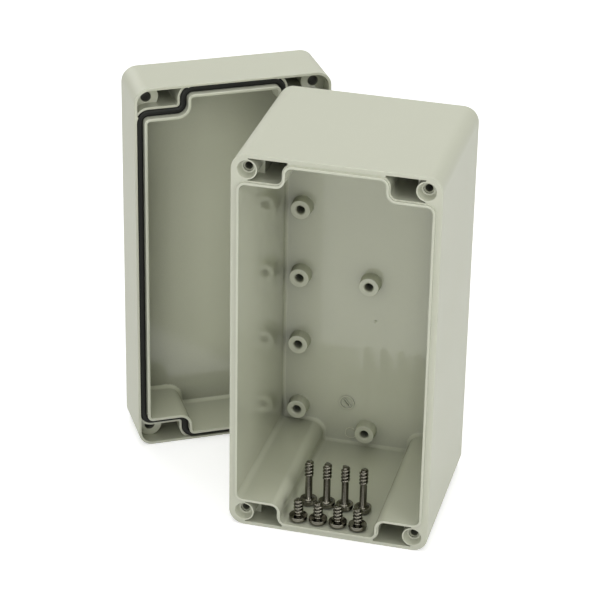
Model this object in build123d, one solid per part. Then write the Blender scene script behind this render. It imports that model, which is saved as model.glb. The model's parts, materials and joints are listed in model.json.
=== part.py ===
from build123d import *
import os
from math import cos, radians, sin

# A screw-down plastic project box, standing open on one short end.
# The base faces -Y, the lid stands free behind it, and the loose screws wait inside.
# Lengths are in millimetres. The origin is the middle of the base's foot, with +Z up.
# Each moulding is drawn with its mouth up (+Z), its width on X, its length on Y and
# its rim in the plane Z = 0, and is then stood up on one end.

# Overall sizes
box_width = 80.0
box_length = 160.0
base_depth = 68.5
lid_depth = 25.0
corner_radius = 6.2
side_lean = 0.3
back_edge_radius = 1.0
rim_edge_radius = 0.3

# The wall between the outside and the sealed room, stepped in round each corner screw.
# The bay is the clear width between the two corner recesses at one end. The open pockets
# beside the screws run pocket_tail past the recess, into the corner of the bay.
wall = 3.4
bay_width = 38.0
recess_length = 12.0
recess_outer_radius = 4.0
recess_inner_radius = 2.5
screw_inset = 6.0
block_width = 11.0
pocket_tail = 0.6

# Base
base_floor = 2.8
base_room_draft = 0.8
base_floor_corner = 2.0
base_floor_fillet = 1.5
ridge_height = 1.0
ridge_width = 1.0
ridge_edge_radius = 0.2
base_skin = 1.5
base_inner_wall = 1.5
base_pocket_floor = 3.0
base_pocket_start = 6.5
base_block_drop = 8.2
screw_boss_diameter = 8.2
boss_rim = 0.5
dish_depth = 3.0
dish_diameter = 5.2
step_depth = 3.8
step_diameter = 4.0
pilot_diameter = 2.9
pilot_depth = 24.0
wall_hole_diameter = 4.5

# Bosses on the base's floor, for a mounting plate
plate_boss_height = 5.0
plate_boss_diameter = 8.1
plate_boss_root = 8.7
plate_boss_edge_radius = 0.3
plate_pilot_diameter = 3.4
plate_pilot_mouth = 4.3
plate_pilot_lead = 0.6
plate_pilot_depth = 6.0
plate_column_spread = 57.5
plate_row_pitch = 30.3
plate_rows = 5
plate_middle_spread = 136.0

# Lid
lid_panel = 3.0
lid_room_draft = 0.4
lid_floor_corner = 2.0
lid_floor_fillet = 1.5
lip_height = 2.0
lip_width = 1.2
lip_edge_radius = 0.3
lip_clearance = 0.15
groove_depth = 3.2
groove_width = 2.55
lid_skin = 1.2
seal_wall = 1.0
seal_wall_drop = 1.5
lid_boss_diameter = 10.0
lid_boss_drop = 6.2
lid_boss_floor = 1.8
lid_hole_diameter = 4.2
head_clearance = 0.4

# Gasket
gasket_clearance = 0.05
gasket_drop = 0.5
gasket_edge_radius = 0.8

# Lid screws, and the shorter screws for the mounting plate
lid_screw_length = 19.3
lid_screw_thread = 7.0
lid_head_diameter = 6.8
lid_head_height = 2.6
lid_shank_diameter = 2.9
lid_thread_diameter = 3.6
plate_screw_length = 9.5
plate_screw_thread = 6.7
plate_head_diameter = 7.3
plate_head_height = 2.4
plate_shank_diameter = 2.9
plate_thread_diameter = 3.9
head_edge_radius = 0.8
tip_chamfer = 0.5

# Where the loose pieces stand, seen from above. The lid's rim plane passes the base's
# back left corner at lid_gap, and the lid's middle lies lid_shift to the left along it.
lid_turn = 31.0
lid_gap = 7.1
lid_shift = 16.4
screws_in_row = 4
screw_rows_x = -0.7
lid_screw_pitch = 7.4
lid_screw_inset = 16.45
plate_screw_pitch = 8.0
plate_screw_inset = 3.85
stand_gap = 0.02

# How far a cut runs past the face it opens, and how near a corner counts as found
overcut = 1.0
near = 0.01

half_width = box_width / 2
half_length = box_length / 2
recess_width = (box_width - bay_width) / 2
pocket_reach = recess_width + pocket_tail
wall_hole_inset = (block_width + recess_width - base_inner_wall) / 2
corners = [(-1, -1), (-1, 1), (1, -1), (1, 1)]


def at_corner(sx, sy, x, y):
    """Place at a distance x from a long side and y from an end, in one corner."""
    return Pos(sx * (half_width - x), sy * (half_length - y))


def corner_box(sx, sy, x_range, y_range):
    """A rectangle in one corner, between distances from the long side and from the end."""
    width = x_range[1] - x_range[0]
    length = y_range[1] - y_range[0]
    return at_corner(sx, sy, x_range[0] + width / 2, y_range[0] + length / 2) * Rectangle(width, length)


def vertices_at(shape, x, y):
    """The four corners of a flat shape that lie x and y from its middle lines."""
    return [v for v in shape.vertices() if abs(abs(v.X) - x) < near and abs(abs(v.Y) - y) < near]


def room_outline(inset, hollow_radius):
    """The sealed room's outline at the rim, moved inward by inset."""
    edge = wall + inset
    outline = Rectangle(box_width - 2 * edge, box_length - 2 * edge)
    across = (edge - overcut, recess_width + inset)
    along = (edge - overcut, recess_length + inset)
    for sx, sy in corners:
        outline -= corner_box(sx, sy, across, along)
    side_x = half_width - edge
    end_y = half_length - edge
    nose_x = half_width - recess_width - inset
    nose_y = half_length - recess_length - inset
    outline = fillet(vertices_at(outline, nose_x, nose_y), recess_outer_radius + inset)
    hollows = vertices_at(outline, side_x, nose_y) + vertices_at(outline, nose_x, end_y)
    return fillet(hollows, hollow_radius)


def rim_outline(inset):
    """The room's outline at the rim, moved inward by inset as a wall of even thickness."""
    return room_outline(inset, recess_inner_radius - inset)


def outer_block(depth):
    """The full outside of a moulding, from its rim at Z = 0 down to its narrower back."""
    back = half_width - side_lean
    rim_points = [(-half_width, 0, 0), (half_width, 0, 0)]
    section = Polyline(*rim_points, (back, 0, -depth), (-back, 0, -depth), close=True)
    block = extrude(make_face(section), half_length, dir=(0, 1, 0), both=True)
    upright = [e for e in block.edges() if abs(e.center().Z + depth / 2) < near]
    block = fillet(upright, corner_radius)
    block = fillet(block.edges().group_by(Axis.Z)[0], back_edge_radius)
    return fillet(block.edges().group_by(Axis.Z)[-1], rim_edge_radius)


def room_block(top, bottom, inset, draft, floor_corner, floor_fillet):
    """The space of a room, from its mouth at top down to bottom, narrowing by draft."""
    mouth = Pos(0, 0, top) * rim_outline(inset)
    floor = Pos(0, 0, bottom) * room_outline(inset + draft, floor_corner)
    block = loft([mouth, floor], ruled=True)
    return fillet(block.edges().group_by(Axis.Z)[0], floor_fillet)


def slab(outline, bottom, top):
    """A flat outline made solid between two heights."""
    return Pos(0, 0, bottom) * extrude(outline, top - bottom)


def ring(outer_inset, inner_inset, bottom, top):
    """A wall that follows the room's outline, between two insets and two heights."""
    return slab(rim_outline(outer_inset) - rim_outline(inner_inset), bottom, top)


def turned(points):
    """A turned shape about Z from the half section's points (radius, height)."""
    section = make_face(Polyline(*[(r, 0, h) for r, h in points], close=True))
    return revolve(section, Axis.Z)


def stand(moulding):
    """Stand a moulding on one end, so that its mouth faces -Y and its foot is at Z = 0."""
    return Pos(0, 0, half_length) * Rot(90, 0, 0) * moulding


def boss_cut():
    """The dished mouth and pilot hole of a corner screw boss."""
    mouth = screw_boss_diameter / 2 - boss_rim
    return turned([
        (0, overcut),
        (mouth, overcut),
        (mouth, 0),
        (dish_diameter / 2, -dish_depth),
        (step_diameter / 2, -dish_depth),
        (step_diameter / 2, -step_depth),
        (pilot_diameter / 2, -step_depth),
        (pilot_diameter / 2, -pilot_depth),
        (0, -pilot_depth),
    ])


def base_pocket(sx, sy):
    """The open pocket between a corner's screw boss, the outer skin and the inner wall."""
    keep = rim_outline(-base_inner_wall)
    boss = at_corner(sx, sy, screw_inset, screw_inset) * Circle(screw_boss_diameter / 2)
    across = (base_skin, recess_length)
    shallow = corner_box(sx, sy, (base_pocket_start, pocket_reach), across) - keep - boss
    deep = corner_box(sx, sy, (block_width, pocket_reach), across) - keep
    pocket = slab(shallow, -base_block_drop, ridge_height + overcut)
    return pocket + slab(deep, base_pocket_floor - base_depth, -base_block_drop)


def plate_boss_places():
    """Centres of the floor bosses: two columns, and three on the middle line."""
    first = -plate_row_pitch * (plate_rows - 1) / 2
    rows = [first + plate_row_pitch * row for row in range(plate_rows)]
    columns = [-plate_column_spread / 2, plate_column_spread / 2]
    middle = [-plate_middle_spread / 2, 0, plate_middle_spread / 2]
    return [(x, y) for x in columns for y in rows] + [(0, y) for y in middle]


def plate_boss():
    """One floor boss, with its foot on the plane Z = 0 and sunk a little for the joint."""
    boss = turned([
        (0, -base_floor / 2),
        (plate_boss_root / 2, -base_floor / 2),
        (plate_boss_root / 2, 0),
        (plate_boss_diameter / 2, plate_boss_height),
        (0, plate_boss_height),
    ])
    return fillet(boss.edges().group_by(Axis.Z)[-1], plate_boss_edge_radius)


def plate_pilot():
    """The hole down a floor boss, wider at its mouth."""
    top = plate_boss_height
    return turned([
        (0, top + overcut),
        (plate_pilot_mouth / 2, top + overcut),
        (plate_pilot_mouth / 2, top),
        (plate_pilot_diameter / 2, top - plate_pilot_lead),
        (plate_pilot_diameter / 2, top - plate_pilot_depth),
        (0, top - plate_pilot_depth),
    ])


def base():
    """The deep half of the box, with its floor bosses, corner bosses and sealing ridge."""
    floor_level = base_floor - base_depth
    shell = outer_block(base_depth) + slab(rim_outline(-ridge_width), -ridge_height, ridge_height)
    shell -= room_block(ridge_height, floor_level, 0, base_room_draft, base_floor_corner, base_floor_fillet)
    shell = fillet(shell.edges().group_by(Axis.Z)[-1], ridge_edge_radius)
    for x, y in plate_boss_places():
        shell += Pos(x, y, floor_level) * plate_boss()
    for x, y in plate_boss_places():
        shell -= Pos(x, y, floor_level) * plate_pilot()
    for sx, sy in corners:
        shell -= base_pocket(sx, sy)
        shell -= at_corner(sx, sy, screw_inset, screw_inset) * boss_cut()
        hole = at_corner(sx, sy, wall_hole_inset, screw_inset) * Circle(wall_hole_diameter / 2)
        shell -= slab(hole, -base_depth - overcut, base_pocket_floor - base_depth + overcut)
    return shell


def lid_pocket(sx, sy):
    """The pocket round a corner's screw boss in the lid, and the drop of its seal wall."""
    skin = RectangleRounded(box_width - 2 * lid_skin, box_length - 2 * lid_skin, corner_radius - lid_skin)
    inside = corner_box(sx, sy, (0, pocket_reach), (0, recess_length)) & skin
    seal = rim_outline(lip_clearance - groove_width)
    keep = rim_outline(lip_clearance - groove_width - seal_wall)
    drop = slab(inside - seal, -seal_wall_drop, overcut)
    open_part = slab(inside - keep, -lid_boss_drop, 0)
    boss = at_corner(sx, sy, screw_inset, screw_inset) * Circle(lid_boss_diameter / 2)
    beside = corner_box(sx, sy, (screw_inset, pocket_reach), (0, recess_length)) & inside
    return drop + open_part + slab(beside - keep - boss, lid_panel - lid_depth, -lid_boss_drop)


def lid_screw_hole():
    """The way of a lid screw: its clearance hole, and a wide bore for its head from outside."""
    shoulder = -lid_boss_drop - lid_boss_floor
    head = lid_head_diameter / 2 + head_clearance
    return turned([
        (0, overcut),
        (lid_hole_diameter / 2, overcut),
        (lid_hole_diameter / 2, shoulder),
        (head, shoulder),
        (head, -lid_depth - overcut),
        (0, -lid_depth - overcut),
    ])


def lid():
    """The shallow half of the box, with its gasket groove, inner lip and corner screw bosses."""
    inset = lip_clearance + lip_width
    floor_level = lid_panel - lid_depth
    shell = outer_block(lid_depth) + slab(rim_outline(lip_clearance), -lip_height, lip_height)
    shell -= room_block(lip_height, floor_level, inset, lid_room_draft, lid_floor_corner, lid_floor_fillet)
    shell = fillet(shell.edges().group_by(Axis.Z)[-1], lip_edge_radius)
    shell -= ring(lip_clearance - groove_width, lip_clearance, -groove_depth, lip_height + overcut)
    for sx, sy in corners:
        shell -= lid_pocket(sx, sy)
        shell -= at_corner(sx, sy, screw_inset, screw_inset) * lid_screw_hole()
    return shell


def gasket():
    """The soft round-topped ring that fills the lid's groove."""
    outer = lip_clearance - groove_width + gasket_clearance
    inner = lip_clearance - gasket_clearance
    strip = ring(outer, inner, -groove_depth, -gasket_drop)
    return fillet(strip.edges().group_by(Axis.Z)[-1], gasket_edge_radius)


def screw(length, head_diameter, head_height, shank_diameter, thread_diameter, thread_length):
    """A pan-head screw standing on its head, with the thread drawn as its outer cylinder."""
    head = head_diameter / 2
    shoulder = length - thread_length
    body = turned([
        (0, 0),
        (head, 0),
        (head, head_height),
        (shank_diameter / 2, head_height),
        (shank_diameter / 2, shoulder),
        (thread_diameter / 2, shoulder),
        (thread_diameter / 2, length - tip_chamfer),
        (thread_diameter / 2 - tip_chamfer, length),
        (0, length),
    ])
    return fillet(body.edges().group_by(Axis.Z)[0], head_edge_radius)


def end_wall_height(inset):
    """Height of the base's lower end wall at a distance behind the rim, as its draft lifts it."""
    room_depth = base_depth - base_floor + ridge_height
    return wall + base_room_draft * (inset + ridge_height) / room_depth


def screw_row(kind, inset, pitch, head_diameter):
    """Places of a row of screws that stand on the lower end wall, as (name, place) pairs."""
    height = end_wall_height(inset + head_diameter / 2) + stand_gap
    first = screw_rows_x - pitch * (screws_in_row - 1) / 2
    y = inset - base_depth / 2
    return [(f"{kind}_{i + 1}", Pos(first + pitch * i, y, height)) for i in range(screws_in_row)]


def lid_place():
    """Where the lid's middle stands, past the base's back left corner along the lid's rim."""
    across = cos(radians(lid_turn))
    along = sin(radians(lid_turn))
    x = -half_width - lid_gap * along - lid_shift * across
    y = base_depth / 2 + lid_gap * across - lid_shift * along
    return Pos(x, y)


lid_screw = screw(
    lid_screw_length,
    lid_head_diameter,
    lid_head_height,
    lid_shank_diameter,
    lid_thread_diameter,
    lid_screw_thread,
)
plate_screw = screw(
    plate_screw_length,
    plate_head_diameter,
    plate_head_height,
    plate_shank_diameter,
    plate_thread_diameter,
    plate_screw_thread,
)

lid_stand = lid_place() * Rot(0, 0, lid_turn)
pieces = {
    "base": Pos(0, -base_depth / 2) * stand(base()),
    "lid": lid_stand * stand(lid()),
    "gasket": lid_stand * stand(gasket()),
}
for name, place in screw_row("lid_screw", lid_screw_inset, lid_screw_pitch, lid_head_diameter):
    pieces[name] = place * lid_screw
for name, place in screw_row("plate_screw", plate_screw_inset, plate_screw_pitch, plate_head_diameter):
    pieces[name] = place * plate_screw

os.makedirs("parts", exist_ok=True)
for name, piece in pieces.items():
    export_step(piece, f"parts/{name}.step")
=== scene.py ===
import json
import logging
import math
from dataclasses import dataclass, replace
from enum import Enum

import bmesh
import bpy
from mathutils import Matrix, Vector

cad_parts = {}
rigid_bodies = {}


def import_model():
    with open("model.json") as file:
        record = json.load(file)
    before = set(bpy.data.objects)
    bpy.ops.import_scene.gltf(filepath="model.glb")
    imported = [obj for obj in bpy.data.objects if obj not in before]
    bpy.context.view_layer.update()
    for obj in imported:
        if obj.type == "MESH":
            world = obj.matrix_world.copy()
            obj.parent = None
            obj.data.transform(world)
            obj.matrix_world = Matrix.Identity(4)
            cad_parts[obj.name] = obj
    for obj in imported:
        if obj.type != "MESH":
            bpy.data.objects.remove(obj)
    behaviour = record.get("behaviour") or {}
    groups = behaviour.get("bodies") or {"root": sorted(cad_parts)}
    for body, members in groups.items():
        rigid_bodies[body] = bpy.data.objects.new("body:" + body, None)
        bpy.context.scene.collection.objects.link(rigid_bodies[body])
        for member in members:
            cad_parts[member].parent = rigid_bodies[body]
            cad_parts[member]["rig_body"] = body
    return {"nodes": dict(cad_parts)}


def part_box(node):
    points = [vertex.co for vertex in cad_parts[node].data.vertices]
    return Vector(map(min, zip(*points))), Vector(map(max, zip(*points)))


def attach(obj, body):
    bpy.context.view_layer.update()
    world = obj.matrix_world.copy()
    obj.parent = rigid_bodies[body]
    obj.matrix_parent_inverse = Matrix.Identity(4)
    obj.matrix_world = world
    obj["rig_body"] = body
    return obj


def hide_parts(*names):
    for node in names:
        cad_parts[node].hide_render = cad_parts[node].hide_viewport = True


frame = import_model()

log = logging.getLogger("project_box")

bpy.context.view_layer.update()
MM = 0.001
FULL_TURN = 2 * math.pi
QUARTER_TURN = math.pi / 2

# The places of the colour sockets of a Mix node.
MIX_A = 6
MIX_B = 7
MIX_RESULT = 2

Colour = tuple[float, float, float]
Point = tuple[float, float, float]


class Slot(Enum):
    """The record's material slots."""

    HOUSING = "housing"
    GASKET = "gasket"
    STEEL = "screw_steel"


class Socket(Enum):
    """The kinds of socket that a node group offers."""

    NUMBER = "NodeSocketFloat"
    COLOUR = "NodeSocketColor"
    VECTOR = "NodeSocketVector"


class NodeTree:
    """Adds nodes to one material, world or node group and links them."""

    def __init__(self, tree: bpy.types.NodeTree) -> None:
        """Take an empty tree.

        Args:
            tree: the node tree to fill.
        """
        self.tree = tree

    def add(self, kind: str, **values: object) -> bpy.types.Node:
        """Add one node.

        Args:
            kind: Blender's name of the node type.
            values: its properties, and its inputs where the name is an input's name with
                underscores in place of spaces.

        Returns:
            The new node.
        """
        node = self.tree.nodes.new(kind)
        for name, value in values.items():
            if hasattr(node, name):
                setattr(node, name, value)
            else:
                node.inputs[name.replace("_", " ")].default_value = value
        return node

    def link(self, source: bpy.types.NodeSocket, target: bpy.types.NodeSocket) -> None:
        """Join an output to an input."""
        self.tree.links.new(source, target)

    def spread(
        self, value: bpy.types.NodeSocket, low: float, high: float
    ) -> bpy.types.NodeSocket:
        """Map a value of 0 to 1 onto a range.

        Args:
            value: the output to map.
            low: what 0 becomes.
            high: what 1 becomes.

        Returns:
            The mapped output.
        """
        node = self.add("ShaderNodeMapRange", To_Min=low, To_Max=high)
        self.link(value, node.inputs["Value"])
        return node.outputs["Result"]


GroupParts = tuple[bpy.types.NodeTree, NodeTree, bpy.types.Node, bpy.types.Node]


def node_group(
    name: str, inputs: dict[str, Socket], outputs: dict[str, Socket]
) -> GroupParts:
    """Start a shader node group.

    Args:
        name: the group's name.
        inputs: its input sockets by name.
        outputs: its output sockets by name.

    Returns:
        The group, a NodeTree on it, its input node and its output node.
    """
    group = bpy.data.node_groups.new(name, "ShaderNodeTree")
    for label, kind in inputs.items():
        group.interface.new_socket(label, in_out="INPUT", socket_type=kind.value)
    for label, kind in outputs.items():
        group.interface.new_socket(label, in_out="OUTPUT", socket_type=kind.value)
    tree = NodeTree(group)
    return group, tree, tree.add("NodeGroupInput"), tree.add("NodeGroupOutput")


class Effects:
    """The surface effects that more than one finish uses, each a node group built once: a
    grain, clouds of tone and painted shade.
    """

    def __init__(self) -> None:
        """Build the groups."""
        self.grain = self.build_grain()
        self.flow = self.build_flow()
        self.cavity = self.build_painted_shade()

    @staticmethod
    def build_grain() -> bpy.types.NodeTree:
        """A fine even grain, as a spark-eroded mould or a moulded rubber has.

        Returns:
            The group, with inputs Vector, Scale and Detail and output Height.
        """
        inputs = {"Vector": Socket.VECTOR, "Scale": Socket.NUMBER, "Detail": Socket.NUMBER}
        outputs = {"Height": Socket.NUMBER}
        group, tree, start, end = node_group("fine_grain", inputs, outputs)
        noise = tree.add("ShaderNodeTexNoise", Roughness=0.6)
        for name in inputs:
            tree.link(start.outputs[name], noise.inputs[name])
        tree.link(noise.outputs["Fac"], end.inputs["Height"])
        return group

    @staticmethod
    def build_flow() -> bpy.types.NodeTree:
        """Slow clouds of tone, as the flow of a melt or the handling of a piece leaves.

        Returns:
            The group, with inputs Vector, Scale, Tone A and Tone B and outputs Colour and Mask.
        """
        inputs = {
            "Vector": Socket.VECTOR,
            "Scale": Socket.NUMBER,
            "Tone A": Socket.COLOUR,
            "Tone B": Socket.COLOUR,
        }
        outputs = {"Colour": Socket.COLOUR, "Mask": Socket.NUMBER}
        group, tree, start, end = node_group("melt_flow", inputs, outputs)
        noise = tree.add("ShaderNodeTexNoise", Detail=3.0, Distortion=0.4)
        tree.link(start.outputs["Vector"], noise.inputs["Vector"])
        tree.link(start.outputs["Scale"], noise.inputs["Scale"])
        mask = tree.add("ShaderNodeMapRange", From_Min=0.3, From_Max=0.7)
        tree.link(noise.outputs["Fac"], mask.inputs["Value"])
        blend = tree.add("ShaderNodeMix", data_type="RGBA")
        tree.link(mask.outputs["Result"], blend.inputs["Factor"])
        tree.link(start.outputs["Tone A"], blend.inputs[MIX_A])
        tree.link(start.outputs["Tone B"], blend.inputs[MIX_B])
        tree.link(blend.outputs[MIX_RESULT], end.inputs["Colour"])
        tree.link(mask.outputs["Result"], end.inputs["Mask"])
        return group

    @staticmethod
    def build_painted_shade() -> bpy.types.NodeTree:
        """Paint shade into a colour inside narrow holes, pockets and thread roots, darker where
        ambient occlusion finds the surface closed in.

        Returns:
            The group, with inputs Colour, Reach, Depth and Power and output Colour.
        """
        inputs = {
            "Colour": Socket.COLOUR,
            "Reach": Socket.NUMBER,
            "Depth": Socket.NUMBER,
            "Power": Socket.NUMBER,
        }
        outputs = {"Colour": Socket.COLOUR}
        group, tree, start, end = node_group("painted_cavity_shade", inputs, outputs)
        # Painted shade: the colour is darkened by how closed in the surface is.
        opening = tree.add("ShaderNodeAmbientOcclusion", samples=8)
        tree.link(start.outputs["Reach"], opening.inputs["Distance"])
        closed = tree.add("ShaderNodeMath", operation="SUBTRACT")
        closed.inputs[0].default_value = 1.0
        tree.link(opening.outputs["AO"], closed.inputs[1])
        shaped = tree.add("ShaderNodeMath", operation="POWER")
        tree.link(closed.outputs[0], shaped.inputs[0])
        tree.link(start.outputs["Power"], shaped.inputs[1])
        share = tree.add("ShaderNodeMath", operation="MULTIPLY", use_clamp=True)
        tree.link(shaped.outputs[0], share.inputs[0])
        tree.link(start.outputs["Depth"], share.inputs[1])
        blend = tree.add("ShaderNodeMix", data_type="RGBA")
        tree.link(share.outputs[0], blend.inputs["Factor"])
        tree.link(start.outputs["Colour"], blend.inputs[MIX_A])
        blend.inputs[MIX_B].default_value = (0.0, 0.0, 0.0, 1.0)
        tree.link(blend.outputs[MIX_RESULT], end.inputs["Colour"])
        return group


@dataclass(frozen=True)
class Finish:
    """A surface finish: two close tones, a range of gloss, a fine relief and painted shade in
    its hollows.

    The relief and the clouds read object coordinates, so they run on from face to face.
    """

    name: str
    slot: Slot
    tone_a: Colour
    tone_b: Colour
    roughness: tuple[float, float]
    flow_scale: float
    grain_scale: float
    grain_depth: float
    grain_detail: float = 2.0
    metallic: float = 0.0
    refraction: float = 1.5
    specular: float = 0.5
    coat: float = 0.0
    coat_roughness: float = 0.05
    stretch: Point = (1.0, 1.0, 1.0)
    # Painted shade in hollows: how far the occlusion reaches, how dark it paints and how
    # sharply it falls off.
    painted_shade_reach: float = 6.0 * MM
    painted_shade_depth: float = 1.0
    painted_shade_power: float = 2.0

    def material(self, effects: Effects) -> bpy.types.Material:
        """Build the material.

        Args:
            effects: the shared node groups.

        Returns:
            The finished material.
        """
        made = bpy.data.materials.new(self.name)
        made.use_nodes = True
        made.node_tree.nodes.clear()
        tree = NodeTree(made.node_tree)
        place = tree.add("ShaderNodeTexCoord").outputs["Object"]
        stretched = tree.add("ShaderNodeMapping", Scale=self.stretch)
        tree.link(place, stretched.inputs["Vector"])
        flow = tree.add("ShaderNodeGroup", node_tree=effects.flow)
        flow.inputs["Scale"].default_value = self.flow_scale
        flow.inputs["Tone A"].default_value = (*self.tone_a, 1.0)
        flow.inputs["Tone B"].default_value = (*self.tone_b, 1.0)
        tree.link(stretched.outputs["Vector"], flow.inputs["Vector"])
        grain = tree.add("ShaderNodeGroup", node_tree=effects.grain)
        grain.inputs["Scale"].default_value = self.grain_scale
        grain.inputs["Detail"].default_value = self.grain_detail
        tree.link(stretched.outputs["Vector"], grain.inputs["Vector"])
        bump = tree.add("ShaderNodeBump", Strength=1.0, Distance=self.grain_depth)
        tree.link(grain.outputs["Height"], bump.inputs["Height"])
        shader = tree.add(
            "ShaderNodeBsdfPrincipled",
            Metallic=self.metallic,
            IOR=self.refraction,
            Specular_IOR_Level=self.specular,
            Coat_Weight=self.coat,
            Coat_Roughness=self.coat_roughness,
            Coat_IOR=self.refraction,
        )
        # Painted shade: the flow's colour is darkened in hollows before it becomes the base
        # colour.
        cavity = tree.add("ShaderNodeGroup", node_tree=effects.cavity)
        cavity.inputs["Reach"].default_value = self.painted_shade_reach
        cavity.inputs["Depth"].default_value = self.painted_shade_depth
        cavity.inputs["Power"].default_value = self.painted_shade_power
        tree.link(flow.outputs["Colour"], cavity.inputs["Colour"])
        tree.link(cavity.outputs["Colour"], shader.inputs["Base Color"])
        roughness = tree.spread(flow.outputs["Mask"], *self.roughness)
        tree.link(roughness, shader.inputs["Roughness"])
        tree.link(bump.outputs["Normal"], shader.inputs["Normal"])
        end = tree.add("ShaderNodeOutputMaterial")
        tree.link(shader.outputs["BSDF"], end.inputs["Surface"])
        return made


# The outside: satin plastic, with painted shade darkening its colour in small hollows.
OUTSIDE_FINISH = Finish(
    name="satin_grey_plastic",
    slot=Slot.HOUSING,
    tone_a=(0.585, 0.60, 0.475),
    tone_b=(0.600, 0.615, 0.490),
    roughness=(0.38, 0.44),
    flow_scale=28.0,
    grain_scale=9000.0,
    grain_depth=0.0015 * MM,
    specular=0.3,
    painted_shade_depth=0.6,
)
# The room and the pockets: polished plastic, with a broad, faint painted shade that darkens the
# corners and the bosses' sides.
INSIDE_FINISH = replace(
    OUTSIDE_FINISH,
    name="polished_grey_plastic",
    roughness=(0.14, 0.18),
    grain_scale=6000.0,
    grain_depth=0.0002 * MM,
    specular=0.5,
    coat=0.6,
    coat_roughness=0.09,
    painted_shade_reach=22.0 * MM,
    painted_shade_depth=0.25,
    painted_shade_power=1.0,
)
# The base's floor: near-mirror plastic, with painted shade that darkens it towards the walls
# and bosses.
FLOOR_FINISH = replace(
    INSIDE_FINISH,
    name="mirror_grey_plastic",
    roughness=(0.07, 0.10),
    grain_depth=0.0001 * MM,
    refraction=1.46,
    coat=0.55,
    coat_roughness=0.04,
    painted_shade_depth=0.5,
)
# The room's plastic again, with wider and deeper painted shade that darkens the lid's floor
# towards its walls.
LID_FLOOR_FINISH = replace(
    INSIDE_FINISH,
    name="shaded_grey_plastic",
    painted_shade_reach=30.0 * MM,
    painted_shade_depth=0.85,
)
# Rough, dull plastic with deep painted shade, which darkens the screw holes, the floor's
# fillets and the bosses' sides.
MATT_FINISH = replace(
    OUTSIDE_FINISH,
    name="matt_grey_plastic",
    roughness=(0.70, 0.80),
    specular=0.1,
    painted_shade_reach=12.0 * MM,
    painted_shade_depth=0.8,
)
# Near-black rubber, with painted shade darkening it where the groove closes it in.
GASKET_FINISH = Finish(
    name="black_seal_rubber",
    slot=Slot.GASKET,
    tone_a=(0.006, 0.007, 0.005),
    tone_b=(0.011, 0.012, 0.009),
    roughness=(0.50, 0.62),
    flow_scale=120.0,
    grain_scale=5200.0,
    grain_depth=0.006 * MM,
    refraction=1.35,
    painted_shade_reach=3.0 * MM,
    painted_shade_power=1.0,
)
# Plated steel, with painted shade that darkens the thread roots and the cross recess.
STEEL_FINISH = Finish(
    name="plated_screw_steel",
    slot=Slot.STEEL,
    tone_a=(0.13, 0.125, 0.100),
    tone_b=(0.20, 0.190, 0.155),
    roughness=(0.08, 0.13),
    flow_scale=300.0,
    grain_scale=900.0,
    grain_depth=0.0002 * MM,
    metallic=1.0,
    stretch=(1.0, 1.0, 12.0),
    painted_shade_reach=1.6 * MM,
    painted_shade_power=1.5,
)

# In the order of the zones' numbers.
MOULDING_FINISHES = (
    OUTSIDE_FINISH,
    INSIDE_FINISH,
    FLOOR_FINISH,
    MATT_FINISH,
    LID_FLOOR_FINISH,
)


class Workshop:
    """What every piece needs on its way to the scene: its finish, body and log line."""

    def __init__(self) -> None:
        """Build the finishes."""
        effects = Effects()
        finishes = (*MOULDING_FINISHES, GASKET_FINISH, STEEL_FINISH)
        self.materials = {finish: finish.material(effects) for finish in finishes}

    def dress(self, piece: bpy.types.Object, *finishes: Finish) -> None:
        """Give a piece its materials, in the order that its faces count them.

        Args:
            piece: the object to dress.
            finishes: its finishes, all of one of the record's slots.
        """
        # Clearing also resets the faces' numbers, so it is for pieces of one finish.
        if len(finishes) == 1:
            piece.data.materials.clear()
        for finish in finishes:
            piece.data.materials.append(self.materials[finish])

    def deliver(
        self, shape: bmesh.types.BMesh, name: str, node: str, *finishes: Finish
    ) -> bpy.types.Object:
        """Turn a finished shape into a piece that stands for a node of the frame.

        Args:
            shape: the shape, in its place. It is freed.
            name: the piece's name.
            node: the frame's node that it replaces.
            finishes: its finishes, in the order that its faces count them.

        Returns:
            The piece, which rides on the node's body.
        """
        mesh = bpy.data.meshes.new(name)
        shape.to_mesh(mesh)
        shape.free()
        mesh.shade_smooth()
        piece = bpy.data.objects.new(name, mesh)
        bpy.context.scene.collection.objects.link(piece)
        shading = piece.modifiers.new("even_shading", "WEIGHTED_NORMAL")
        shading.keep_sharp = True
        self.dress(piece, *finishes)
        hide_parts(node)
        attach(piece, frame["nodes"][node]["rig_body"])
        log.info("%s stands for %s with %d faces", name, node, len(mesh.polygons))
        return piece


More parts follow.
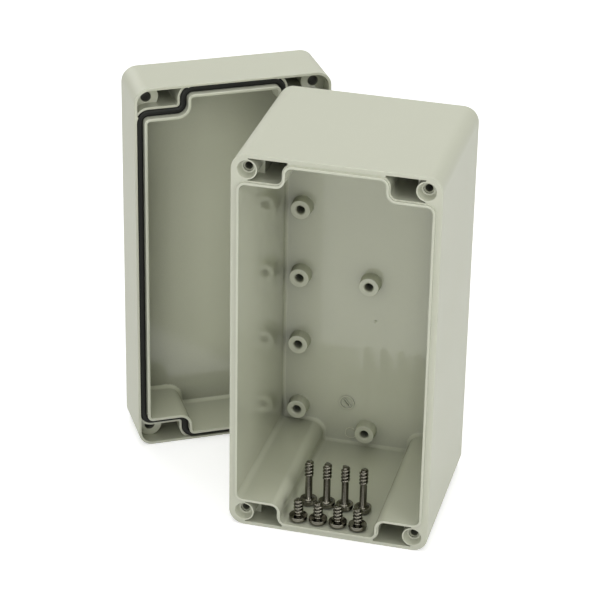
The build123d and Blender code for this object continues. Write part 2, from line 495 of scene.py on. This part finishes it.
@dataclass
class MouldMark:
    """A shallow mark that a pin or an insert of the mould leaves on a flat face."""

    place: Point
    radius: float
    height: float
    pointer: bool = False
    line: float = 0.45 * MM
    sink: float = 0.1 * MM
    pointer_share: float = 1.4
    pointer_width: float = 0.35 * MM
    pointer_offset: float = 0.45 * MM
    pointer_turn: float = math.radians(-52)
    sides: int = 48

    def add_to(self, shape: bmesh.types.BMesh) -> None:
        """Raise the mark on a face that looks along -Y.

        Args:
            shape: the moulding that carries the mark.
        """
        mark = bmesh.new()
        inner = self.radius - self.line
        for radius in (self.radius, inner):
            bmesh.ops.create_circle(mark, cap_ends=False, radius=radius, segments=self.sides)
        bmesh.ops.bridge_loops(mark, edges=mark.edges[:])
        if self.pointer:
            length = self.pointer_share * inner
            turn = Matrix.Rotation(self.pointer_turn, 3, "Z")
            for offset in (-self.pointer_offset, self.pointer_offset):
                bar = bmesh.ops.create_grid(mark, x_segments=1, y_segments=1, size=0.5)
                verts = bar["verts"]
                bmesh.ops.scale(mark, verts=verts, vec=(length, self.pointer_width, 1))
                bmesh.ops.translate(mark, verts=verts, vec=(0, offset, 0))
                bmesh.ops.rotate(mark, verts=verts, cent=(0, 0, 0), matrix=turn)
        raised = bmesh.ops.extrude_face_region(mark, geom=mark.faces[:])
        tops = [v for v in raised["geom"] if isinstance(v, bmesh.types.BMVert)]
        bmesh.ops.translate(mark, verts=tops, vec=(0, 0, self.height + self.sink))
        bmesh.ops.recalc_face_normals(mark, faces=mark.faces[:])
        upright = Matrix.Rotation(QUARTER_TURN, 4, "X")
        seat = Matrix.Translation(Vector(self.place) + Vector((0, self.sink, 0)))
        bmesh.ops.transform(mark, matrix=seat @ upright, verts=mark.verts[:])
        spare = bpy.data.meshes.new("mark")
        mark.to_mesh(spare)
        mark.free()
        shape.from_mesh(spare)
        bpy.data.meshes.remove(spare)


class Zone(Enum):
    """Where a face of a moulding lies, by the number of its finish."""

    OUTSIDE = 0
    ROOM = 1
    FLOOR = 2
    MATT = 3
    LID_FLOOR = 4


@dataclass(frozen=True)
class Rounds:
    """Screw holes, or bosses with their pilot holes, all of one size along the depth."""

    across: tuple[float, ...]
    along: tuple[float, ...]
    radius: float
    mouth: float

    def hold(self, across: float, along: float, depth: float) -> bool:
        """Tell whether a point lies in one of the holes or on the side of a boss.

        Args:
            across: the point's place across the moulding, from its middle.
            along: its place along the moulding, from its middle.
            depth: its place from mouth to back, on the scale of the mouth.

        Returns:
            True within the radius, deeper than the mouth.
        """
        if depth < self.mouth:
            return False
        sides = min(abs(across - x) for x in self.across)
        ends = min(abs(along - z) for z in self.along)
        return math.hypot(sides, ends) < self.radius


@dataclass(frozen=True)
class Zones:
    """How a moulding's faces are told apart, from its place as it stands on its foot."""

    middle: tuple[float, float]
    turn: float
    rim: float
    back: float
    rounds: tuple[Rounds, ...]
    floor: float
    floor_zone: Zone
    half_width: float = 40.0 * MM
    half_length: float = 80.0 * MM
    corner: float = 6.2 * MM
    skin: float = 1.1 * MM
    rim_reach: float = 0.11 * MM
    floor_reach: float = 0.05 * MM
    fillet_reach: float = 1.55 * MM

    def zone(self, point: Vector) -> Zone:
        """Tell where a point of the moulding lies.

        Args:
            point: the middle of one of its faces.

        Returns:
            The floor's own zone on the floor, MATT on its fillets, in the screw holes and
            on the bosses' sides, ROOM in the room and the pockets, and OUTSIDE elsewhere.
        """
        flat = Vector((point.x, point.y)) - Vector(self.middle)
        local = Matrix.Rotation(-self.turn, 2) @ flat
        height = point.z - self.half_length
        above_floor = self.floor - local.y
        if abs(above_floor) < self.floor_reach:
            return self.floor_zone
        # MATT carries the deepest painted shade, so the holes, the floor's fillets and the
        # bosses' sides are darkened.
        in_round = any(r.hold(local.x, height, local.y) for r in self.rounds)
        if in_round or 0 < above_floor < self.fillet_reach:
            return Zone.MATT
        across = abs(local.x) - (self.half_width - self.corner)
        along = abs(height) - (self.half_length - self.corner)
        round_part = Vector((max(across, 0.0), max(along, 0.0))).length
        depth = self.corner - round_part - min(max(across, along), 0.0)
        on_rim = local.y < self.rim + self.rim_reach
        in_room = local.y < self.back - self.skin and (depth > self.skin or on_rim)
        return Zone.ROOM if in_room else Zone.OUTSIDE


@dataclass
class Moulding:
    """One moulded half of the box, with the edges eased that the solids leave sharp."""

    node: str
    name: str
    zones: Zones
    marks: tuple[MouldMark, ...] = ()
    merge_distance: float = 0.001 * MM
    flat_angle: float = math.radians(0.3)
    sharp_angle: float = math.radians(30)
    edge_ease: float = 0.12 * MM
    ease_segments: int = 2

    def eased_shape(self) -> bmesh.types.BMesh:
        """Copy the node's mesh, join its loose triangles and ease its sharp edges.

        Returns:
            The closed shape.
        """
        shape = bmesh.new()
        shape.from_mesh(frame["nodes"][self.node].data)
        bmesh.ops.remove_doubles(shape, verts=shape.verts[:], dist=self.merge_distance)
        bmesh.ops.dissolve_limit(
            shape, angle_limit=self.flat_angle, verts=shape.verts[:], edges=shape.edges[:]
        )
        sharp = [e for e in shape.edges if e.calc_face_angle(0.0) > self.sharp_angle]
        bmesh.ops.bevel(
            shape,
            geom=sharp,
            offset=self.edge_ease,
            offset_type="OFFSET",
            affect="EDGES",
            segments=self.ease_segments,
            profile=0.5,
            clamp_overlap=False,
            material=-1,
        )
        return shape

    def build(self, shop: Workshop) -> bpy.types.Object:
        """Make the piece.

        Args:
            shop: the workshop that finishes it.

        Returns:
            The piece.
        """
        shape = self.eased_shape()
        for face in shape.faces:
            face.material_index = self.zones.zone(face.calc_center_median()).value
        for mark in self.marks:
            mark.add_to(shape)
        return shop.deliver(shape, self.name, self.node, *MOULDING_FINISHES)


@dataclass
class SealRing:
    """The round-topped rubber ring in the lid's groove, whose solid is already right."""

    node: str = "gasket"

    def build(self, shop: Workshop) -> bpy.types.Object:
        """Dress the ring.

        Args:
            shop: the workshop that finishes it.

        Returns:
            The frame's own piece.
        """
        piece = frame["nodes"][self.node]
        shop.dress(piece, GASKET_FINISH)
        log.info("%s keeps its solid", self.node)
        return piece


@dataclass(frozen=True)
class ScrewSize:
    """The sizes of one kind of pan-head screw."""

    length: float
    head_diameter: float
    head_height: float
    shank_diameter: float
    thread_diameter: float
    core_diameter: float
    thread_length: float
    pitch: float
    head_edge: float = 1.3 * MM
    tip_chamfer: float = 0.2 * MM
    seat_edge: float = 0.15 * MM


LID_SCREW = ScrewSize(
    length=19.3 * MM,
    head_diameter=6.8 * MM,
    head_height=2.6 * MM,
    shank_diameter=2.9 * MM,
    thread_diameter=3.6 * MM,
    core_diameter=2.5 * MM,
    thread_length=7.4 * MM,
    pitch=1.55 * MM,
)
PLATE_SCREW = ScrewSize(
    length=9.5 * MM,
    head_diameter=7.3 * MM,
    head_height=2.4 * MM,
    shank_diameter=2.9 * MM,
    thread_diameter=3.9 * MM,
    core_diameter=2.6 * MM,
    thread_length=6.7 * MM,
    pitch=1.55 * MM,
)


@dataclass
class Screw:
    """A pan-head screw that stands on its head, with a real thread and a cross recess."""

    size: ScrewSize
    node: str
    turn: float
    sides: int = 48
    head_segments: int = 5
    seat_segments: int = 2
    ease_share: float = 0.98
    ring_reach: float = 0.01 * MM
    body_merge: float = 0.001 * MM
    thread_merge: float = 0.0005 * MM
    thread_steps: int = 32
    recess_arm: float = 1.9 * MM
    recess_width: float = 0.9 * MM
    recess_depth: float = 1.4 * MM
    recess_taper: float = 0.55
    crest_width: float = 0.5 * MM
    root_share: float = 0.75
    root_sink: float = 0.15 * MM
    fade_share: float = 0.2
    fade_least: float = 0.1
    end_gap: float = 0.05 * MM

    def foot(self) -> Vector:
        """The middle of the node's foot."""
        low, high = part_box(self.node)
        return Vector(((low.x + high.x) / 2, (low.y + high.y) / 2, low.z))

    def add_body(self, shape: bmesh.types.BMesh) -> None:
        """Turn the head, the shank and the thread's core from one half section.

        Args:
            shape: the shape to add to.
        """
        size = self.size
        head = size.head_diameter / 2
        shank = size.shank_diameter / 2
        core = size.core_diameter / 2
        shoulder = size.length - size.thread_length
        section = [
            (head - size.head_edge, 0),
            (head, 0),
            (head, size.head_height),
            (shank, size.head_height),
            (shank, shoulder),
            (core, shoulder + shank - core),
            (core, size.length - size.tip_chamfer),
            (core - size.tip_chamfer, size.length),
            (0, size.length),
        ]
        verts = [shape.verts.new((r, 0, z)) for r, z in section]
        edges = [shape.edges.new(pair) for pair in zip(verts, verts[1:])]
        bmesh.ops.spin(
            shape,
            geom=verts + edges,
            cent=(0, 0, 0),
            axis=(0, 0, 1),
            angle=FULL_TURN,
            steps=self.sides,
            use_merge=True,
        )
        bmesh.ops.remove_doubles(shape, verts=shape.verts[:], dist=self.body_merge)
        self.ease_ring(shape, head, 0.0, size.head_edge, self.head_segments)
        self.ease_ring(shape, head, size.head_height, size.seat_edge, self.seat_segments)

    def ease_ring(
        self,
        shape: bmesh.types.BMesh,
        radius: float,
        height: float,
        ease: float,
        segments: int,
    ) -> None:
        """Round the ring of edges at one radius and height.

        Args:
            shape: the turned shape.
            radius: the ring's radius.
            height: the ring's height.
            ease: how far the rounding reaches.
            segments: how many strips round it.
        """
        ring = [
            e
            for e in shape.edges
            if all(abs(v.co.z - height) < self.ring_reach for v in e.verts)
            and all(abs(v.co.to_2d().length - radius) < self.ring_reach for v in e.verts)
        ]
        bmesh.ops.bevel(
            shape,
            geom=ring,
            offset=ease * self.ease_share,
            offset_type="OFFSET",
            affect="EDGES",
            segments=segments,
            profile=0.5,
            clamp_overlap=True,
            material=-1,
        )

    def add_recess(self, shape: bmesh.types.BMesh) -> None:
        """Close the head's outer face round a tapered cross recess.

        Args:
            shape: the turned shape, whose head is still open at its foot.
        """
        rim = [e for e in shape.edges if e.is_boundary]
        arm, half = self.recess_arm, self.recess_width / 2
        quarter = [(arm, -half), (arm, half), (half, half)]
        corners = []
        for step in range(4):
            turn = Matrix.Rotation(step * QUARTER_TURN, 2)
            corners += [turn @ Vector(point) for point in quarter]
        verts = [shape.verts.new((point.x, point.y, 0)) for point in corners]
        cross = [shape.edges.new(pair) for pair in zip(verts, verts[1:] + verts[:1])]
        bmesh.ops.triangle_fill(shape, use_beauty=True, edges=rim + cross)
        walls = bmesh.ops.extrude_edge_only(shape, edges=cross)
        deep = [v for v in walls["geom"] if isinstance(v, bmesh.types.BMVert)]
        bmesh.ops.translate(shape, verts=deep, vec=(0, 0, self.recess_depth))
        bmesh.ops.scale(shape, verts=deep, vec=(self.recess_taper, self.recess_taper, 1))
        bottom = [e for e in walls["geom"] if isinstance(e, bmesh.types.BMEdge)]
        bmesh.ops.edgeloop_fill(shape, edges=[e for e in bottom if e.is_boundary])

    def add_thread(self, shape: bmesh.types.BMesh) -> None:
        """Wind the thread's ridge round the core, from a short fade up to the blunt tip.

        Args:
            shape: the shape to add to.
        """
        size = self.size
        core = size.core_diameter / 2
        crest = size.thread_diameter / 2
        half_root = size.pitch * self.root_share / 2
        start = size.length - size.thread_length + half_root
        end = size.length - self.crest_width / 2 - self.end_gap
        section = [
            (core - self.root_sink, start - half_root),
            (crest, start - self.crest_width / 2),
            (crest, start + self.crest_width / 2),
            (core - self.root_sink, start + half_root),
        ]
        verts = [shape.verts.new((r, 0, z)) for r, z in section]
        profile = shape.faces.new(verts)
        turns = (end - start) / size.pitch
        steps = round(turns * self.thread_steps)
        before = set(shape.verts) - set(verts)
        bmesh.ops.spin(
            shape,
            geom=[profile, *profile.edges, *verts],
            cent=(0, 0, 0),
            axis=(0, 0, 1),
            dvec=(0, 0, (end - start) / steps),
            angle=FULL_TURN * turns,
            steps=steps,
            use_duplicate=False,
        )
        wound = [v for v in shape.verts if v not in before]
        for v in wound:
            reach = v.co.to_2d().length
            if reach > core:
                inside = (v.co.z - start) / (size.pitch * self.fade_share)
                height = max(self.fade_least, min(1.0, inside))
                v.co.xy *= (core + (reach - core) * height) / reach
            v.co.z = min(v.co.z, size.length - self.end_gap)

    def build(self, shop: Workshop) -> bpy.types.Object:
        """Make the piece.

        Args:
            shop: the workshop that finishes it.

        Returns:
            The piece.
        """
        shape = bmesh.new()
        self.add_body(shape)
        self.add_recess(shape)
        self.add_thread(shape)
        bmesh.ops.remove_doubles(shape, verts=shape.verts[:], dist=self.thread_merge)
        bmesh.ops.recalc_face_normals(shape, faces=shape.faces[:])
        place = Matrix.Translation(self.foot()) @ Matrix.Rotation(self.turn, 4, "Z")
        bmesh.ops.transform(shape, matrix=place, verts=shape.verts[:])
        return shop.deliver(shape, f"{self.node}_threaded", self.node, STEEL_FINISH)


@dataclass
class Lamp:
    """A soft square lamp that looks at the box."""

    name: str
    place: Point
    size: float
    power: float

    def build(self, target: Vector) -> None:
        """Hang the lamp.

        Args:
            target: the point that it looks at.
        """
        data = bpy.data.lights.new(self.name, "AREA")
        data.shape = "SQUARE"
        data.size = self.size
        data.energy = self.power
        lamp = bpy.data.objects.new(self.name, data)
        lamp.location = self.place
        lamp.rotation_euler = (target - lamp.location).to_track_quat("-Z", "Y").to_euler()
        bpy.context.scene.collection.objects.link(lamp)


@dataclass
class Studio:
    """A pale table under plain soft light, in front of a white surround."""

    lamps: tuple[Lamp, ...]
    target: Point = (-0.02, 0.0, 0.08)
    floor_radius: float = 3.0
    floor_sides: int = 96
    floor_drop: float = 0.05 * MM
    floor_colour: Colour = (0.86, 0.86, 0.86)
    floor_lift: float = 0.52
    sky_low: float = 0.28
    sky_high: float = 0.0

    def build(self) -> None:
        """Set the table, the surround and the lamps."""
        self.build_floor()
        self.build_surround()
        for lamp in self.lamps:
            lamp.build(Vector(self.target))

    @staticmethod
    def seen_directly(tree: NodeTree) -> bpy.types.NodeSocket:
        """A mask of the rays that show a surface instead of lighting by it.

        Args:
            tree: the material's or world's tree.

        Returns:
            An output that is 1 on camera, mirror and see-through rays.
        """
        path = tree.add("ShaderNodeLightPath")
        either = tree.add("ShaderNodeMath", operation="MAXIMUM")
        tree.link(path.outputs["Is Camera Ray"], either.inputs[0])
        tree.link(path.outputs["Is Glossy Ray"], either.inputs[1])
        any_of = tree.add("ShaderNodeMath", operation="MAXIMUM")
        tree.link(either.outputs[0], any_of.inputs[0])
        tree.link(path.outputs["Is Transmission Ray"], any_of.inputs[1])
        return any_of.outputs[0]

    def build_floor(self) -> None:
        """Lay the table: a wide disc that keeps the box's shadow and else shows white."""
        shape = bmesh.new()
        bmesh.ops.create_circle(
            shape, cap_ends=True, radius=self.floor_radius, segments=self.floor_sides
        )
        bmesh.ops.translate(shape, verts=shape.verts[:], vec=(0, 0, -self.floor_drop))
        mesh = bpy.data.meshes.new("table")
        shape.to_mesh(mesh)
        shape.free()
        table = bpy.data.objects.new("table", mesh)
        bpy.context.scene.collection.objects.link(table)
        cover = bpy.data.materials.new("pale_table")
        cover.use_nodes = True
        cover.node_tree.nodes.clear()
        tree = NodeTree(cover.node_tree)
        matt = tree.add("ShaderNodeBsdfDiffuse", Color=(*self.floor_colour, 1.0))
        lift = tree.add("ShaderNodeEmission")
        strength = tree.add("ShaderNodeMath", operation="MULTIPLY")
        strength.inputs[1].default_value = self.floor_lift
        tree.link(self.seen_directly(tree), strength.inputs[0])
        tree.link(strength.outputs[0], lift.inputs["Strength"])
        both = tree.add("ShaderNodeAddShader")
        tree.link(matt.outputs[0], both.inputs[0])
        tree.link(lift.outputs[0], both.inputs[1])
        end = tree.add("ShaderNodeOutputMaterial")
        tree.link(both.outputs[0], end.inputs["Surface"])
        mesh.materials.append(cover)

    def build_surround(self) -> None:
        """Light the room from a pale sky, darker overhead, that shows as plain white."""
        world = bpy.data.worlds.new("surround")
        bpy.context.scene.world = world
        world.use_nodes = True
        world.node_tree.nodes.clear()
        tree = NodeTree(world.node_tree)
        height = tree.add("ShaderNodeSeparateXYZ")
        tree.link(tree.add("ShaderNodeTexCoord").outputs["Generated"], height.inputs[0])
        glow = tree.spread(height.outputs["Z"], self.sky_low, self.sky_high)
        sky = tree.add("ShaderNodeBackground")
        tree.link(glow, sky.inputs["Strength"])
        white = tree.add("ShaderNodeBackground", Color=(1.0, 1.0, 1.0, 1.0))
        chosen = tree.add("ShaderNodeMixShader")
        tree.link(self.seen_directly(tree), chosen.inputs["Fac"])
        tree.link(sky.outputs[0], chosen.inputs[1])
        tree.link(white.outputs[0], chosen.inputs[2])
        end = tree.add("ShaderNodeOutputWorld")
        tree.link(chosen.outputs[0], end.inputs["Surface"])


@dataclass
class PhotoCamera:
    """The photograph's viewpoint, found from the outlines of the base and the lid."""

    azimuth: float = math.radians(14.244)
    elevation: float = math.radians(27.559)
    roll: float = math.radians(1.076)
    pivot: Point = (0.0, -4.25 * MM, 80.0 * MM)
    offset: tuple[float, float] = (19.515 * MM, -8.780 * MM)
    distance: float = 994.40 * MM
    focal_pixels: float = 2562.8
    image_pixels: float = 600.0
    sensor: float = 36.0
    near: float = 0.05
    far: float = 20.0

    def build(self) -> None:
        """Place the camera and make it the scene's own."""
        back = Vector((
            math.sin(self.azimuth) * math.cos(self.elevation),
            -math.cos(self.azimuth) * math.cos(self.elevation),
            math.sin(self.elevation),
        ))
        level = Vector((math.cos(self.azimuth), math.sin(self.azimuth), 0.0))
        upright = back.cross(level)
        right = level * math.cos(self.roll) + upright * math.sin(self.roll)
        up = upright * math.cos(self.roll) - level * math.sin(self.roll)
        data = bpy.data.cameras.new("photo_camera")
        data.sensor_width = self.sensor
        data.lens = self.focal_pixels * self.sensor / self.image_pixels
        data.clip_start = self.near
        data.clip_end = self.far
        camera = bpy.data.objects.new("photo_camera", data)
        bpy.context.scene.collection.objects.link(camera)
        turn = Matrix((right, up, back)).transposed().to_4x4()
        spot = Vector(self.pivot) - right * self.offset[0] - up * self.offset[1]
        camera.matrix_world = Matrix.Translation(spot + back * self.distance) @ turn
        bpy.context.scene.camera = camera


# Where the mouldings' features lie, as the solids have them. Depths run from mouth to back.
FLOOR_FACE = 31.45 * MM
LID_FLOOR_FACE = 22.0 * MM
BOSS_HEIGHT = 5.0 * MM
BOSS_FACE_EDGE = 0.35 * MM
BOSS_REACH = 4.6 * MM
BOSS_SIDE = FLOOR_FACE - BOSS_HEIGHT + BOSS_FACE_EDGE
SCREW_ACROSS = (-34.0 * MM, 34.0 * MM)
SCREW_ALONG = (-74.0 * MM, 74.0 * MM)
PLATE_COLUMNS = (-28.75 * MM, 28.75 * MM)
PLATE_ROWS = (-60.6 * MM, -30.3 * MM, 0.0, 30.3 * MM, 60.6 * MM)
PLATE_MIDDLE = (-68.0 * MM, 0.0, 68.0 * MM)
BASE_ZONES = Zones(
    middle=(0.0, 0.0),
    turn=0.0,
    rim=-34.25 * MM,
    back=34.25 * MM,
    rounds=(
        Rounds(PLATE_COLUMNS, PLATE_ROWS, radius=BOSS_REACH, mouth=BOSS_SIDE),
        Rounds((0.0,), PLATE_MIDDLE, radius=BOSS_REACH, mouth=BOSS_SIDE),
        Rounds(SCREW_ACROSS, SCREW_ALONG, radius=2.1 * MM, mouth=-31.1 * MM),
    ),
    floor=FLOOR_FACE,
    floor_zone=Zone.FLOOR,
)
LID_ZONES = Zones(
    middle=(-57.714 * MM, 31.889 * MM),
    turn=math.radians(31),
    rim=0.0,
    back=25.0 * MM,
    rounds=(Rounds(SCREW_ACROSS, SCREW_ALONG, radius=3.9 * MM, mouth=6.3 * MM),),
    floor=LID_FLOOR_FACE,
    floor_zone=Zone.LID_FLOOR,
)
BASE_MARKS = (
    MouldMark((-8.6 * MM, FLOOR_FACE, 23.4 * MM), 3.1 * MM, 0.6 * MM, pointer=True),
    MouldMark((-6.6 * MM, FLOOR_FACE, 9.3 * MM), 2.6 * MM, 0.25 * MM),
    MouldMark((2.2 * MM, FLOOR_FACE, 62.6 * MM), 0.6 * MM, 0.25 * MM, line=0.55 * MM),
)
LID_SCREW_TURNS = (12, 47, 71, 33)
PLATE_SCREW_TURNS = (58, 21, 80, 5)
STUDIO = Studio(
    lamps=(
        Lamp("top_lamp", place=(0.0, 0.0, 1.8), size=1.4, power=13.6),
        Lamp("slant_lamp", place=(0.0, -1.2, 1.5), size=1.2, power=5.6),
        Lamp("low_lamp", place=(0.2, -1.7, 0.3), size=0.8, power=5.8),
        Lamp("left_lamp", place=(-1.5, -1.1, 0.9), size=1.0, power=4.6),
        Lamp("right_lamp", place=(1.6, -0.9, 0.9), size=1.0, power=11.3),
        Lamp("back_lamp", place=(0.0, 1.5, 1.3), size=1.2, power=3.3),
        Lamp("rear_left_lamp", place=(-1.3, 1.2, 0.8), size=1.0, power=6.0),
    )
)


def main() -> None:
    """Build the camera, the pieces and the studio in order."""
    logging.basicConfig(level=logging.INFO, format="%(name)s: %(message)s")
    bpy.context.scene.view_settings.view_transform = "Standard"
    PhotoCamera().build()
    shop = Workshop()
    Moulding("base", "base_moulding", BASE_ZONES, BASE_MARKS).build(shop)
    Moulding("lid", "lid_moulding", LID_ZONES).build(shop)
    SealRing().build(shop)
    for number, turn in enumerate(LID_SCREW_TURNS, start=1):
        Screw(LID_SCREW, f"lid_screw_{number}", math.radians(turn)).build(shop)
    for number, turn in enumerate(PLATE_SCREW_TURNS, start=1):
        Screw(PLATE_SCREW, f"plate_screw_{number}", math.radians(turn)).build(shop)
    STUDIO.build()


if __name__ == "__main__":
    main()
